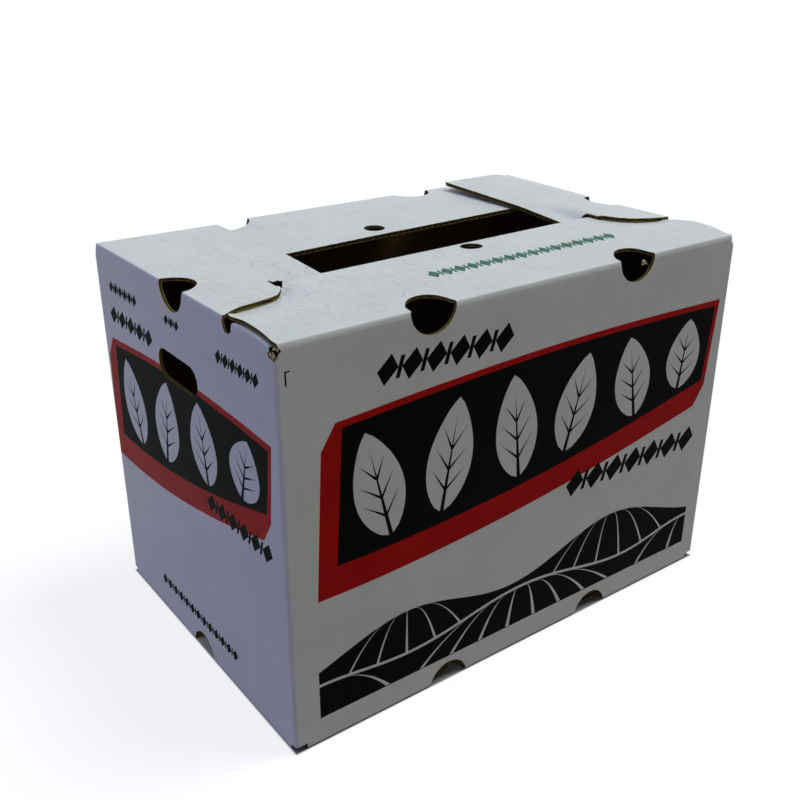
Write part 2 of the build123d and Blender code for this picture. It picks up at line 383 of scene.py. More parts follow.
def endPanelShape(side, reach, backSlot):
    low = carton["bottomBand"]

    def across(f):
        return (1 if side else -1) * (f - width / 2)

    slot = [(f, height + up) for f, up in flaps["cornerCut"]]
    back = [(width - f * backSlot / flaps["frontSlot"], y) for f, y in slot]
    if side == 0:
        slot = [(f, height + up) for f, up in flaps["tornCut"]]
    rim = [
        (base["slot"], -base["shortReach"]), (width - base["slot"], -base["shortReach"]),
        (width - base["slot"], low), (width, low), *back,
        (width - backSlot, height + reach), (flaps["frontSlot"], height + reach),
        *slot[::-1], (0.0, low), (base["slot"], low),
    ]
    crush = flaps["crush"]
    rounds = [circle(0, height, holes["vent"]), circle(0, -holes["lowVentDrop"], holes["lowVent"])]
    rounds.append(stadium(0, holes["handHeight"], *holes["hand"]))
    cuts = [(ring, holes["crush"]) for ring in rounds]
    notchLong = flaps["notchDrop"] + flaps["notchRun"]
    notchAt = height + (flaps["notchRun"] - flaps["notchDrop"]) / 2
    middle, notchWidth = across(slitStart + flaps["notchBack"][side]), flaps["notchWidth"][side]
    cuts.append((stadium(middle, notchAt, notchLong, notchWidth, True), crush["notch"]))
    if side == 0:
        for name in ("relief", "tear"):
            cuts.append(([(across(f), height + e) for e, f in flaps[name]], crush["tear"]))
    wide, long = flaps["slitHole"]
    holeAt = slitDepth + flaps["slitHoleBack"] - long / 2
    cuts.append((stadium(across(holeAt), height + slitEnd, long, wide), crush["slit"]))
    cuts.append(([(across(f), height + e) for f, e in slitSliver()], crush["slit"]))
    return [(across(f), y) for f, y in rim], cuts


shapes = {
    "front": longPanelShape(flaps["nearReach"], flaps["nearEndGap"], holes["nearFinger"], True),
    "right": endPanelShape(1, flaps["rightReach"], flaps["rightBackSlot"]),
    "back": longPanelShape(flaps["farReach"], flaps["farEndGap"],
                           (-holes["farFinger"][0], holes["farFinger"][1]), False),
    "left": endPanelShape(0, flaps["leftReach"], flaps["leftBackSlot"]),
}

# Prints: flexo inks, drawn on the flat panels as (from the panel's left corner, up)
prints = {
    "front": {
        "banner": (52.0, 511.0, 300.0, 309.0, 176.0, 228.0),  # left, right, top and bottom at each end
        "leaves": 6,
        "rows": ((88.0, 236.0, 325.0, 351.0, 6), (312.0, 508.0, 149.0, 177.0, 7)),
        "small": ((186.0, 420.0, 431.0, 453.0, 16),),
    },
    "left": {
        "banner": (24.0, 333.0, 282.0, 289.0, 180.0, 229.0),
        "leaves": 4,
        "rows": ((24.0, 128.0, 306.0, 325.0, 5), (214.0, 336.0, 181.0, 201.0, 6)),
        "small": ((30.0, 98.0, 338.0, 351.0, 6), (256.0, 330.0, 336.0, 350.0, 6),
                  (158.0, 190.0, 341.0, 352.0, 3), (84.0, 254.0, 31.0, 45.0, 13)),
    },
    "rim": 6.0,  # red round the banner
    "shade": (-14.0, -22.0),  # how far the red shows below and to the left
    "arch": 7.0,
    "lean": 8.0,
    "leafTurns": (-14, 10, -6, 15, -10, 7),
    "leafTall": 0.84, "leafWide": 0.66,  # shares of the banner's height, and of its length for each leaf
    "field": (26.0, 512.0, 27.0),  # left, right and foot of the landscape
    "hillStep": 8.1,
    "mark": {"lean": 0.3, "wide": 0.43, "bar": 0.72, "thin": 0.085},
    "hills": (
        {"low": 62.0, "peaks": ((120.0, 38.0, 95.0), (385.0, 46.0, 105.0)), "rim": 0.0,
         "tops": ((120.0, 95.0, 5), (385.0, 120.0, 6)), "fan": (0.5, 2.1), "thick": 3.2, "margin": 4},
        {"low": 38.0, "peaks": ((20.0, 22.0, 90.0), (262.0, 30.0, 120.0), (512.0, 24.0, 80.0)), "rim": 3.0,
         "tops": ((20.0, 110.0, 4), (262.0, 150.0, 8), (512.0, 110.0, 4)), "fan": (0.7, 1.9),
         "thick": 4.0, "margin": 6},
    ),
    "tick": (7.5, 12.5, 347.0, 359.0, 1.5),  # cutting mark by the corner: left, right, foot, top, stroke
}
inkSlots = ["white liner", "kraft liner", "cut liner", "painted fluting shade", "dark ink", "red ink", "green ink"]


def bannerEdges(left, right, topLeft, topRight, lowLeft, lowRight, grow):
    # Upper and lower edge of a banner that leans and arches a little
    upper, lower = [], []
    steps = 24
    for i in range(steps + 1):
        share = i / steps
        bow = prints["arch"] * math.sin(math.pi * share)
        x = left - grow + (right - left + 2 * grow) * share
        upper.append((x + prints["lean"] / 2, topLeft + (topRight - topLeft) * share + bow + grow))
        lower.append((x - prints["lean"] / 2, lowLeft + (lowRight - lowLeft) * share ** 1.4 - bow - grow))
    return upper, lower


def leafRings(x, y, long, wide, turn):
    # A plain leaf that stands on (x, y): its blade, and the rib and veins left dark in it
    def put(s, t):
        return (x + t * math.cos(turn) + s * math.sin(turn), y - t * math.sin(turn) + s * math.cos(turn))

    def sliver(s0, t0, s1, t1, thick):
        run = Vector((s1 - s0, t1 - t0)).normalized()
        side = Vector((-run.y, run.x)) * thick / 2
        return [put(s0 + side.x, t0 + side.y), put(s1, t1), put(s0 - side.x, t0 - side.y)]

    def halfWide(share):
        return wide / 2 * math.sin(math.pi * share ** 0.85) ** 0.75

    steps = 18
    right = [(long * i / steps, halfWide(i / steps)) for i in range(steps + 1)]
    blade = [put(s, t) for s, t in right] + [put(s, -t) for s, t in reversed(right[1:-1])]
    rings = [("white liner", blade), ("dark ink", sliver(-1, 0, 0.86 * long, 0, 0.09 * wide))]
    for share in (0.2, 0.38, 0.56):
        for side in (-1, 1):
            end = (min(0.92, share + 0.2) * long, side * 0.78 * halfWide(share + 0.2))
            rings.append(("dark ink", sliver(share * long, 0, *end, 0.05 * wide)))
    return rings


def bannerRings(banner, leaves):
    upper, lower = bannerEdges(*banner, prints["rim"])
    dx, dy = prints["shade"]
    shade = [(x + dx, y + dy) for x, y in reversed(lower)]
    red = upper + [lower[-1]] + shade + [(upper[0][0] + dx, upper[0][1] + dy)]
    upper, lower = bannerEdges(*banner, 0.0)
    rings = [("red ink", red), ("dark ink", upper + lower[::-1])]
    for i in range(leaves):
        at = 0.5 / leaves + i / leaves
        spot = at * (len(upper) - 1)
        k = min(int(spot), len(upper) - 2)
        top, foot = [line[k][1] + (line[k + 1][1] - line[k][1]) * (spot - k) for line in (upper, lower)]
        turn = math.radians(prints["leafTurns"][i])
        tall = (top - foot) * prints["leafTall"]
        wide = (banner[1] - banner[0]) / leaves * prints["leafWide"]
        x = banner[0] + (banner[1] - banner[0]) * at - math.sin(turn) * tall / 2
        rings += leafRings(x, foot + (top - foot) * (1 - prints["leafTall"]) / 2, tall, wide, turn)
    return rings


def markRow(x0, x1, y0, y1, count, ink):
    # A row of leaning lozenges, with a short bar between each two
    step, y, tall = (x1 - x0) / count, (y0 + y1) / 2, (y1 - y0) / 2
    rings, mark = [], prints["mark"]
    for i in range(count):
        x = x0 + (i + 0.5) * step
        half, bar, thin = mark["wide"] * step, mark["bar"] * tall, mark["thin"] * step
        marks = [(x, ((-half, 0), (0, tall), (half, 0), (0, -tall)))]
        if i:
            marks.append((x - step / 2, ((-thin, -bar), (thin, -bar), (thin, bar), (-thin, bar))))
        for at, corners in marks:
            rings.append((ink, [(at + mark["lean"] * up + aside, y + up) for aside, up in corners]))
    return rings


def hillTop(x, hills):
    peaks = hills["peaks"]
    return hills["low"] + sum(rise * math.exp(-((x - at) / spread) ** 2) for at, rise, spread in peaks)


def hillRings(hills):
    # A line of rounded hills with pale furrows that curve down from their tops
    left, right, foot = prints["field"]
    xs = spaced(left, right, prints["hillStep"])

    def ground(lift):
        return [(left, foot), (right, foot)] + [(x, hillTop(x, hills) + lift) for x in reversed(xs)]

    def furrow(x0, x1):
        start, ends = hillTop(x0, hills), []
        for i in range(13):
            share = i / 12
            x = x0 + (x1 - x0) * share ** 0.7
            y = start - (start - (foot + 1)) * share ** 1.3
            ends.append((x, y, (0.5 + hills["thick"] * share) / 2))
        return [(x - w, y) for x, y, w in ends] + [(x + w, y) for x, y, w in reversed(ends)]

    rings = [("white liner", ground(hills["rim"]))] if hills["rim"] else []
    rings.append(("dark ink", ground(0.0)))
    for top, spread, count in hills["tops"]:
        for i in range(count):
            x0, x1 = [top + fan * spread * ((i + 0.5) / count - 0.5) for fan in hills["fan"]]
            if all(left + hills["margin"] < x < right - hills["margin"] for x in (x0, x1)):
                rings.append(("white liner", furrow(x0, x1)))
    return rings


def panelPrints(panel):
    kind = prints["front" if panel["side"] is None else "left"]
    rings = bannerRings(kind["banner"], kind["leaves"])
    for row in kind["rows"]:
        rings += markRow(*row, "dark ink")
    for row in kind["small"]:
        onFlap = row[2] > height
        if not onFlap or panel["name"] == "front":
            rings += markRow(*row, "green ink" if onFlap else "dark ink")
    if panel["side"] is None:
        for hills in prints["hills"]:
            rings += hillRings(hills)
        left, right, foot, top, stroke = prints["tick"]
        rings.append(("dark ink", [(left, foot), (left + stroke, foot), (left + stroke, top - stroke),
                                   (right, top - stroke + 0.5), (right, top), (left, top)]))
    half = panel["span"] / 2
    return [(ink, [(x - half, y) for x, y in ring]) for ink, ring in rings]


def isInside(points, polygon):
    # Even-odd test of many points at once
    ring = np.array(polygon)
    near = (points > ring.min(axis=0)).all(axis=1) & (points < ring.max(axis=0)).all(axis=1)
    x, y = points[near, 0:1], points[near, 1:2]
    x0, y0 = ring.T
    x1, y1 = np.roll(x0, -1), np.roll(y0, -1)
    crosses = (y0 > y) != (y1 > y)
    with np.errstate(divide="ignore", invalid="ignore"):
        at = (x1 - x0) * (y - y0) / (y1 - y0) + x0
    inside = np.zeros(len(points), bool)
    inside[near] = (crosses & (x < at)).sum(axis=1) % 2 == 1
    return inside


def meshRows(low, high):
    # Heights of the mesh's rows on the flat panel, and which of them the mesh keeps as edges
    band, foot = height - carton["topBand"], carton["bottomBand"]
    kept = spaced(-crease, crease, 1) + [foot, band] + spaced(height - crease, height + crease, 1)
    free = spaced(low, -crease, 2 * carton["grid"]) + spaced(foot, band, carton["grid"])
    free += spaced(height + crease, high, carton["flapGrid"])
    return sorted(set(kept)), sorted(set(free) - set(kept))


def meshPanel(panel, outline, cuts, inks):
    # The flat panel in triangles that keep its outline, cuts, creases and prints as edges
    points, edges = [], []
    edge = panel["span"] / 2
    low, high = min(y for x, y in outline), max(y for x, y in outline)

    def addChain(chain, step=math.inf, closed=False):
        first = len(points)
        pairs = zip(chain, chain[1:] + chain[:1] if closed else chain[1:])
        for (x0, y0), (x1, y1) in pairs:
            count = max(1, math.ceil(math.hypot(x1 - x0, y1 - y0) / step - 1e-6))
            points.extend((x0 + (x1 - x0) * i / count, y0 + (y1 - y0) * i / count) for i in range(count))
        if not closed:
            points.append(chain[-1])
        last = len(points) - 1
        edges.extend((i, i + 1) for i in range(first, last))
        if closed:
            edges.append((last, first))

    for ring in [outline, *[ring for ring, crush in cuts]]:
        addChain(ring, carton["flapGrid"], True)
    for name, ring in inks:
        addChain(ring, 2 * carton["grid"], True)
    fixed = KDTree(len(points))
    for i, (x, y) in enumerate(points):
        fixed.insert((x, y, 0), i)
    fixed.balance()
    kept, free = meshRows(low, high)
    corners = spaced(edge - crease, edge, 1)[:-1]
    corners = [-x for x in corners] + corners
    columns = sorted(corners + spaced(-edge + crease, edge - crease, carton["flapGrid"])[1:-1])
    band = [y for y in sorted(kept + free) if carton["bottomBand"] <= y <= height - carton["topBand"]]
    for x in corners:
        addChain([(x, y) for y in band])
    for y in kept:
        addChain([(-edge, y), *[(x, y) for x in columns], (edge, y)])
    wide = spaced(-edge + crease, edge - crease, carton["grid"])[1:-1]
    loose = [(x, y) for y in free for x in (columns if y > height else wide) if abs(x) < edge - crease]
    points.extend(p for p in loose if fixed.find((*p, 0))[2] > carton["spare"])
    flat, lines, faces, *rest = delaunay_2d_cdt([Vector(p) for p in points], edges, [], 0, 1e-5, False)
    flat = np.array([tuple(p) for p in flat])
    faces = np.array([f for f in faces if len(f) == 3])
    first, second = flat[faces[:, 1]] - flat[faces[:, 0]], flat[faces[:, 2]] - flat[faces[:, 0]]
    area = first[:, 0] * second[:, 1] - first[:, 1] * second[:, 0]
    faces[area < 0] = faces[area < 0][:, ::-1]
    faces = faces[np.abs(area) > 1e-7]
    middle = flat[faces].mean(axis=1)
    keep = isInside(middle, outline)
    for cut, crush in cuts:
        keep &= ~isInside(middle, cut)
    faces, middle = faces[keep], middle[keep]
    ink = np.zeros(len(faces), int)
    for name, ring in inks:
        ink[isInside(middle, ring)] = inkSlots.index(name)
    return flat, faces, ink


def insetDirections(panel, flat, faces):
    # Cut edges of the flat panel, and the way into the board from each of their points
    ways = set()
    for a, b, c in faces:
        ways.update(((a, b), (b, c), (c, a)))
    edge = panel["span"] / 2 - 1e-4
    rim = sorted((a, b) for a, b in ways if (b, a) not in ways
                 and min(abs(flat[a][0]), abs(flat[b][0])) <= edge)
    inward = {}
    for a, b in rim:
        run = flat[b] - flat[a]
        normal = np.array((-run[1], run[0])) / max(1e-9, np.hypot(*run))
        for point in (a, b):
            inward.setdefault(point, []).append(normal)
    for point, normals in inward.items():
        total = sum(normals)
        size = np.hypot(*total)
        miter = min(1.4, len(normals) / size) if size > 0.2 else 1.0
        inward[point] = total / size * miter if size > 0.2 else normals[0]
    return rim, inward


def crushAt(panel, spot, cuts):
    # How much thinner the board is at a point of a cut edge
    for ring, crush in cuts:
        start = np.array(ring)
        run = np.roll(start, -1, axis=0) - start
        share = ((spot - start) * run).sum(axis=1) / np.maximum(1e-9, (run ** 2).sum(axis=1))
        nearest = start + run * np.clip(share, 0, 1)[:, None]
        if np.hypot(*(spot - nearest).T).min() < 0.05:
            return crush
    if panel["name"] == "front" and spot[1] > height and length / 2 - abs(spot[0]) < flaps["earInset"] - 1:
        return flaps["crush"]["ear"]
    return carton["crush"]


class Sheet:
    # Points, faces and marks of one piece of board or paper, gathered panel by panel
    def __init__(self):
        self.points, self.faces, self.slots, self.flat = [], [], [], []
        self.seams = {}

    def add(self, place, spot):
        key = tuple(round(c, 7) for c in place) + (round(spot[0], 4), round(spot[1], 4))
        if key not in self.seams:
            self.seams[key] = len(self.points)
            self.points.append(place)
            self.flat.append(spot)
        return self.seams[key]

    def face(self, corners, slot):
        if len(set(corners)) > 2:
            self.faces.append(corners)
            self.slots.append(slot)


def buildBoard():
    # Both faces of the board and, between them, its open cut edges
    sheet = Sheet()
    ribbon = []
    liner, recess = carton["liner"], carton["recess"]
    for panel in panels:
        outline, cuts = shapes[panel["name"]]
        flat, triangles, ink = meshPanel(panel, outline, cuts, panelPrints(panel))

        def put(i, w, inset=0.0):
            x, y = flat[i] if not inset else flat[i] + inward[i] * inset
            return sheet.add(foldPoint(panel, x, y, w), (panel["start"] + panel["span"] / 2 + x, y))

        rim, inward = insetDirections(panel, flat, triangles)
        thick = {i: board - crushAt(panel, flat[i], cuts) for i in inward}
        used = sorted(set(triangles.ravel()))
        outer = {i: put(i, 0.0) for i in used}
        inner = {i: put(i, thick.get(i, board)) for i in used}
        for (a, b, c), slot in zip(triangles, ink):
            sheet.face((outer[a], outer[b], outer[c]), int(slot))
            sheet.face((inner[c], inner[b], inner[a]), 1)
        levels = {}
        for i in inward:
            skin = min(liner, thick[i] / 3)
            levels[i] = [outer[i], put(i, skin), put(i, skin, recess),
                         put(i, thick[i] - skin, recess), put(i, thick[i] - skin), inner[i]]
        for a, b in rim:
            # The recess walls of every cut edge take slot 3, the painted shade of the flutes
            for k, slot in enumerate((2, 3, 3, 3, 2)):
                upper, lower = levels[a], levels[b]
                sheet.face((lower[k], upper[k], upper[k + 1], lower[k + 1]), slot)
        ribbon.append((panel, flat, rim, inward, thick))
    return sheet, ribbon


def newMesh(name, points, faces):
    mesh = bpy.data.meshes.new(name)
    mesh.from_pydata(points, [], faces)
    return mesh


def makePiece(name, sheet, smooth=40):
    mesh = newMesh(name, sheet.points, sheet.faces)
    mesh.polygons.foreach_set("material_index", sheet.slots)
    mesh.polygons.foreach_set("use_smooth", [True] * len(sheet.faces))
    mesh.set_sharp_from_angle(angle=math.radians(smooth))
    layer = mesh.uv_layers.new(name="sheet")
    corners = np.empty(len(mesh.loops), int)
    mesh.loops.foreach_get("vertex_index", corners)
    layer.data.foreach_set("uv", (np.array(sheet.flat)[corners] * mm).ravel())
    mesh.update()
    return addObject(name, mesh)


def setInputs(tree, node, inputs):
    # For each input a value or a link, from a socket or from a node's first output
    for key, value in inputs.items():
        if isinstance(value, bpy.types.Node):
            value = value.outputs[0]
        if isinstance(value, bpy.types.NodeSocket):
            tree.links.new(value, node.inputs[key])
        else:
            node.inputs[key].default_value = value


def addNode(tree, kind, inputs=None, **settings):
    # One node with its settings, its values and its links
    node = tree.nodes.new(kind)
    for name, value in settings.items():
        setattr(node, name, value)
    setInputs(tree, node, inputs or {})
    return node


def srgb(code):
    values = [int(code[i:i + 2], 16) / 255 for i in (1, 3, 5)]
    return tuple(v / 12.92 if v <= 0.04045 else ((v + 0.055) / 1.055) ** 2.4 for v in values) + (1.0,)


def newMaterial(name, roughness, specular):
    material = bpy.data.materials.new(name)
    material.use_nodes = True
    tree = material.node_tree
    shader = tree.nodes["Principled BSDF"]
    setInputs(tree, shader, {"Roughness": roughness, "Specular IOR Level": specular})
    add = partial(addNode, tree)
    return material, tree, shader, add, add("ShaderNodeTexCoord").outputs["Object"]


# Paper: flute pitch, and sizes of the patterns in millimetres
paper = {
    "pitch": 7.6,
    "washboard": 0.05,  # height of the ridges that the flutes press into the liner
    "wrinkle": 2.8, "wrinkleSize": 9.5,
    "streak": 1.6, "streakSize": (160.0, 14.0),
    "mottleSize": 40.0, "speckSize": 0.9,
    "fibre": 0.15, "fibreSize": 1.2,
    "creasedAt": (-0.13, -0.06, 0.381),
}


def linerMaterial(name, colour, deep, roughness, specular, strength, ink=False):
    # Paper liner over flutes: faint washboard ridges, small wrinkles and long soft streaks
    material, tree, shader, add, spot = newMaterial(name, roughness, specular)
    sheet = add("ShaderNodeUVMap", uv_map="sheet")
    ridges = add("ShaderNodeTexWave", {
        "Vector": sheet, "Scale": 0.1 * math.pi / (paper["pitch"] * mm), "Distortion": 0.6,
        "Detail": 1.0, "Detail Scale": 0.4}, wave_profile="SIN", bands_direction="X").outputs["Fac"]
    wrinkles = add("ShaderNodeTexNoise", {
        "Vector": spot, "Scale": 1 / (paper["wrinkleSize"] * mm), "Detail": 1.5,
        "Roughness": 0.45, "Distortion": 0.8})
    along, across = [1 / (size * mm) for size in paper["streakSize"]]
    stretch = add("ShaderNodeMapping", {"Vector": sheet, "Scale": (along, across, 1)})
    streaks = add("ShaderNodeTexNoise", {"Vector": stretch, "Scale": 1.0, "Detail": 2.0, "Roughness": 0.4})
    mottle = add("ShaderNodeTexNoise", {
        "Vector": spot, "Scale": 1 / (paper["mottleSize"] * mm), "Detail": 6.0, "Roughness": 0.6})
    # The lid is handled most, so its wrinkles are deep, most of all by the slit on the left
    up = add("ShaderNodeSeparateXYZ", {0: sheet}).outputs[1]
    onTop = add("ShaderNodeMapRange", {"Value": up, "From Min": 0.386, "From Max": 0.405, "To Min": 0.05})
    away = add("ShaderNodeVectorMath", {0: spot, 1: paper["creasedAt"]}, operation="DISTANCE")
    near = add("ShaderNodeMapRange", {
        "Value": away.outputs["Value"], "From Min": 0.05, "From Max": 0.30, "To Min": 1.0, "To Max": 0.3},
        interpolation_type="SMOOTHSTEP")
    amount = add("ShaderNodeMath", {0: onTop, 1: near}, operation="MULTIPLY")
    tone = add("ShaderNodeMapRange", {"Value": mottle, "From Min": 0.35, "From Max": 0.65})
    shown = add("ShaderNodeMix", {6: srgb(colour), 7: srgb(deep), 0: tone}, data_type="RGBA")
    if ink:
        specks = add("ShaderNodeTexNoise", {
            "Vector": spot, "Scale": 1 / (paper["speckSize"] * mm), "Detail": 3.0, "Roughness": 0.7})
        thin = add("ShaderNodeMapRange", {"Value": specks, "From Min": 0.62, "From Max": 0.8, "To Max": 0.05})
        worn = {6: shown.outputs[2], 7: srgb("#8d8f88"), 0: thin}
        shown = add("ShaderNodeMix", worn, data_type="RGBA")
    lower = {}
    for pattern, mask, size in (
            (ridges, None, "washboard"), (wrinkles, amount, "wrinkle"), (streaks, onTop, "streak")):
        if mask is not None:
            centred = add("ShaderNodeMath", {0: pattern, 1: 0.5}, operation="SUBTRACT")
            pattern = add("ShaderNodeMath", {0: centred, 1: mask}, operation="MULTIPLY")
        bump = add("ShaderNodeBump", {
            "Height": pattern, "Strength": strength, "Distance": paper[size] * mm, **lower})
        lower = {"Normal": bump}
    setInputs(tree, shader, {"Base Color": shown.outputs[2], **lower})
    return material


def kraftMaterial(name, colour, deep, roughness):
    # Brown kraft paper: long fibres and darker flecks, no shine
    material, tree, shader, add, spot = newMaterial(name, roughness, 0.1)
    stretch = add("ShaderNodeMapping", {"Vector": spot, "Scale": (1, 1, 0.2)})
    fibres = add("ShaderNodeTexNoise", {
        "Vector": stretch, "Scale": 1 / (paper["fibreSize"] * mm), "Detail": 4.0, "Roughness": 0.7})
    tone = add("ShaderNodeMapRange", {"Value": fibres, "From Min": 0.3, "From Max": 0.7})
    shown = add("ShaderNodeMix", {6: srgb(colour), 7: srgb(deep), 0: tone}, data_type="RGBA")
    bump = add("ShaderNodeBump", {"Height": fibres, "Strength": 0.5, "Distance": paper["fibre"] * mm})
    setInputs(tree, shader, {"Base Color": shown.outputs[2], "Normal": bump})
    return material


# White-top kraft liner: bleached top layer, faintly calendered, so it has a soft broad sheen
whiteLiner = linerMaterial("white-top kraft liner", "#dddfde", "#d6d8d8", 0.4, 0.15, 1.0)
# Kraft liner, unbleached: brown, painted darker than plain kraft as shade inside the carton
kraftLinerWithPaintedShade = kraftMaterial("unbleached kraft liner, darkened as shade", "#6f5936", "#523f26", 0.85)
# The same paper cut through: paler broken fibres in a thin line
cutLiner = kraftMaterial("cut kraft liner", "#a69650", "#75683a", 0.9)
# Semi-chemical fluting paper: ochre where its cut edge catches the light
flutingPaper = kraftMaterial("semi-chemical fluting", "#857339", "#5c4d26", 0.9)
# What closes the flutes a little way in: painted shade, the fluting paper coloured near black where no light
# reaches
paintedFlutingShade = kraftMaterial("fluting painted near black as shade", "#110e08", "#0a0805", 0.95)
# Water-based flexo inks: thin, a little glossier than the liner, with pinholes over its fibres
darkInk = linerMaterial("black-green flexo ink", "#080e0b", "#050a08", 0.5, 0.01, 0.8, True)
redInk = linerMaterial("red flexo ink", "#bc1a1a", "#ae1516", 0.45, 0.03, 0.8, True)
greenInk = linerMaterial("green flexo ink", "#1c6b50", "#165a43", 0.42, 0.06, 0.8, True)

boardSheet, rims = buildBoard()
boardPiece = makePiece("carton_board", boardSheet)
for material in (whiteLiner, kraftLinerWithPaintedShade, cutLiner, paintedFlutingShade, darkInk, redInk, greenInk):
    boardPiece.data.materials.append(material)
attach(boardPiece, "root")
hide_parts("carton")
print("board built:", len(boardPiece.data.polygons), "faces")

# Fluting: the wavy paper between the liners, shown where the board is cut
fluting = {
    "thick": 0.4, "lip": 0.1, "step": 1.0,
    "weld": (2e-5, 1e-6),  # in metres: what joins the strips, and their two sides
}


def ribbonMesh():
    # Flat strips along the middle of every cut edge, with the girth and the way across the board
    points, faces, girth, across = [], [], [], []
    opening = board - 2 * carton["liner"] - fluting["thick"]
    for panel, flat, rim, inward, thick in rims:
        start = panel["start"] + panel["span"] / 2
        for a, b in rim:
            run = flat[b] - flat[a]
            count = max(1, math.ceil(abs(run[0]) / fluting["step"]))
            first = len(points)
            for i in range(count + 1):
                share = i / count
                spot = flat[a] + run * share
                way = inward[a] * (1 - share) + inward[b] * share
                deep = thick[a] * (1 - share) + thick[b] * share
                room = max(0.0, (deep - 2 * carton["liner"] - fluting["thick"]) / opening)
                for inset in (fluting["lip"], carton["recess"]):
                    x, y = spot + way * inset
                    top, low = foldPoint(panel, x, y, 0.0), foldPoint(panel, x, y, deep)
                    points.append((top + low) / 2)
                    across.append((low - top).normalized() * room)
                    girth.append((start + x) * mm)
            faces += [(k, k + 1, k + 3, k + 2) for k in range(first, first + 2 * count, 2)]
    mesh = newMesh("fluting", points, faces)
    mesh.attributes.new("girth", "FLOAT", "POINT").data.foreach_set("value", girth)
    across = np.array(across).ravel()
    mesh.attributes.new("across", "FLOAT_VECTOR", "POINT").data.foreach_set("vector", across)
    return mesh


def newTree(name, **kinds):
    # A node group from geometry and the inputs of these kinds to geometry
    tree = bpy.data.node_groups.new(name, "GeometryNodeTree")
    for label, kind in {"Geometry": "Geometry", **kinds}.items():
        tree.interface.new_socket(label, in_out="INPUT", socket_type="NodeSocket" + kind)
    tree.interface.new_socket("Geometry", in_out="OUTPUT", socket_type="NodeSocketGeometry")
    return tree, partial(addNode, tree), tree.nodes.new("NodeGroupInput").outputs


def flutingTree():
    # Waves the strips by their girth, gives them the paper's thickness and joins their ends
    tree, add, given = newTree("fluting", Pitch="Float", Swing="Float", Thickness="Float", Paper="Material")
    girth = add("GeometryNodeInputNamedAttribute", {"Name": "girth"}, data_type="FLOAT")
    across = add("GeometryNodeInputNamedAttribute", {"Name": "across"}, data_type="FLOAT_VECTOR")
    wave = girth
    for step, by in (("DIVIDE", given["Pitch"]), ("MULTIPLY", 2 * math.pi), ("SINE", 0),
                     ("MULTIPLY", given["Swing"])):
        wave = add("ShaderNodeMath", {0: wave, 1: by}, operation=step)
    shift = add("ShaderNodeVectorMath", {0: across, "Scale": wave}, operation="SCALE")
    strips, sides = fluting["weld"]
    joined = add("GeometryNodeMergeByDistance", {"Geometry": given["Geometry"], "Distance": strips})
    waved = add("GeometryNodeSetPosition", {"Geometry": joined, "Offset": shift})
    pulled = add("GeometryNodeExtrudeMesh", {
        "Mesh": waved, "Offset Scale": given["Thickness"], "Individual": False}, mode="FACES")
    under = add("GeometryNodeFlipFaces", {"Mesh": waved})
    both = add("GeometryNodeJoinGeometry", {0: pulled})
    setInputs(tree, both, {0: under})
    closed = add("GeometryNodeMergeByDistance", {"Geometry": both, "Distance": sides})
    real = add("GeometryNodeRealizeInstances", {"Geometry": closed})
    done = add("GeometryNodeSetMaterial", {"Geometry": real, "Material": given["Paper"]})
    add("NodeGroupOutput", {"Geometry": done})
    return tree


def applyNodes(name, mesh, tree, values):
    # The node tree's result as a plain mesh
    source = addObject(name + "_source", mesh)
    modifier = source.modifiers.new("nodes", "NODES")
    modifier.node_group = tree
    sockets = {item.name: item.identifier for item in tree.interface.items_tree if item.in_out == "INPUT"}
    for key, value in values.items():
        modifier[sockets[key]] = value
    bpy.context.view_layer.update()
    depsgraph = bpy.context.evaluated_depsgraph_get()
    result = bpy.data.meshes.new_from_object(source.evaluated_get(depsgraph), depsgraph=depsgraph)
    source.modifiers.remove(modifier)
    bpy.data.objects.remove(source)
    return addObject(name, result)


swing = (board - 2 * carton["liner"] - fluting["thick"]) / 2
flutingPiece = applyNodes("carton_fluting", ribbonMesh(), flutingTree(), {
    "Pitch": paper["pitch"] * mm, "Swing": swing * mm,
    "Thickness": fluting["thick"] * mm, "Paper": flutingPaper})
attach(flutingPiece, "root")
print("fluting built:", len(flutingPiece.data.polygons), "faces")

# Torn paper: shreds of liner left where the corner slot and a vent were ripped
torn = {
    "seed": 11,
    "places": (((-263.6, -171.5, 370.6), (1.6, 3.2, 1.6), 12), ((-262.5, -174.0, 376.5), (1.6, 1.6, 1.6), 7),
               ((137.0, -171.5, 372.5), (4.0, 1.5, 3.0), 7)),  # middle, spread and count of each
    "shred": ((0.0, 0.0), (2.6, 0.3), (3.4, 1.2), (1.9, 2.0), (0.3, 1.4)),
    "centre": (1.6, 1.0), "bend": 0.7, "thick": 0.3,
    "size": (0.5, 1.25), "turn": 3.1,
}


def shredObject():
    # One shred, bent along its length, with its thickness
    points = []
    midX, midY = torn["centre"]
    for lift in (0.0, torn["thick"]):
        for x, y in torn["shred"]:
            points.append(Vector((x - midX, y - midY, lift + torn["bend"] * math.sin(x))) * mm)
    count = len(torn["shred"])
    faces = [tuple(reversed(range(count))), tuple(range(count, 2 * count))]
    for i in range(count):
        j = (i + 1) % count
        faces.append((i, j, j + count, i + count))
    return bpy.data.objects.new("shred", newMesh("shred", points, faces))


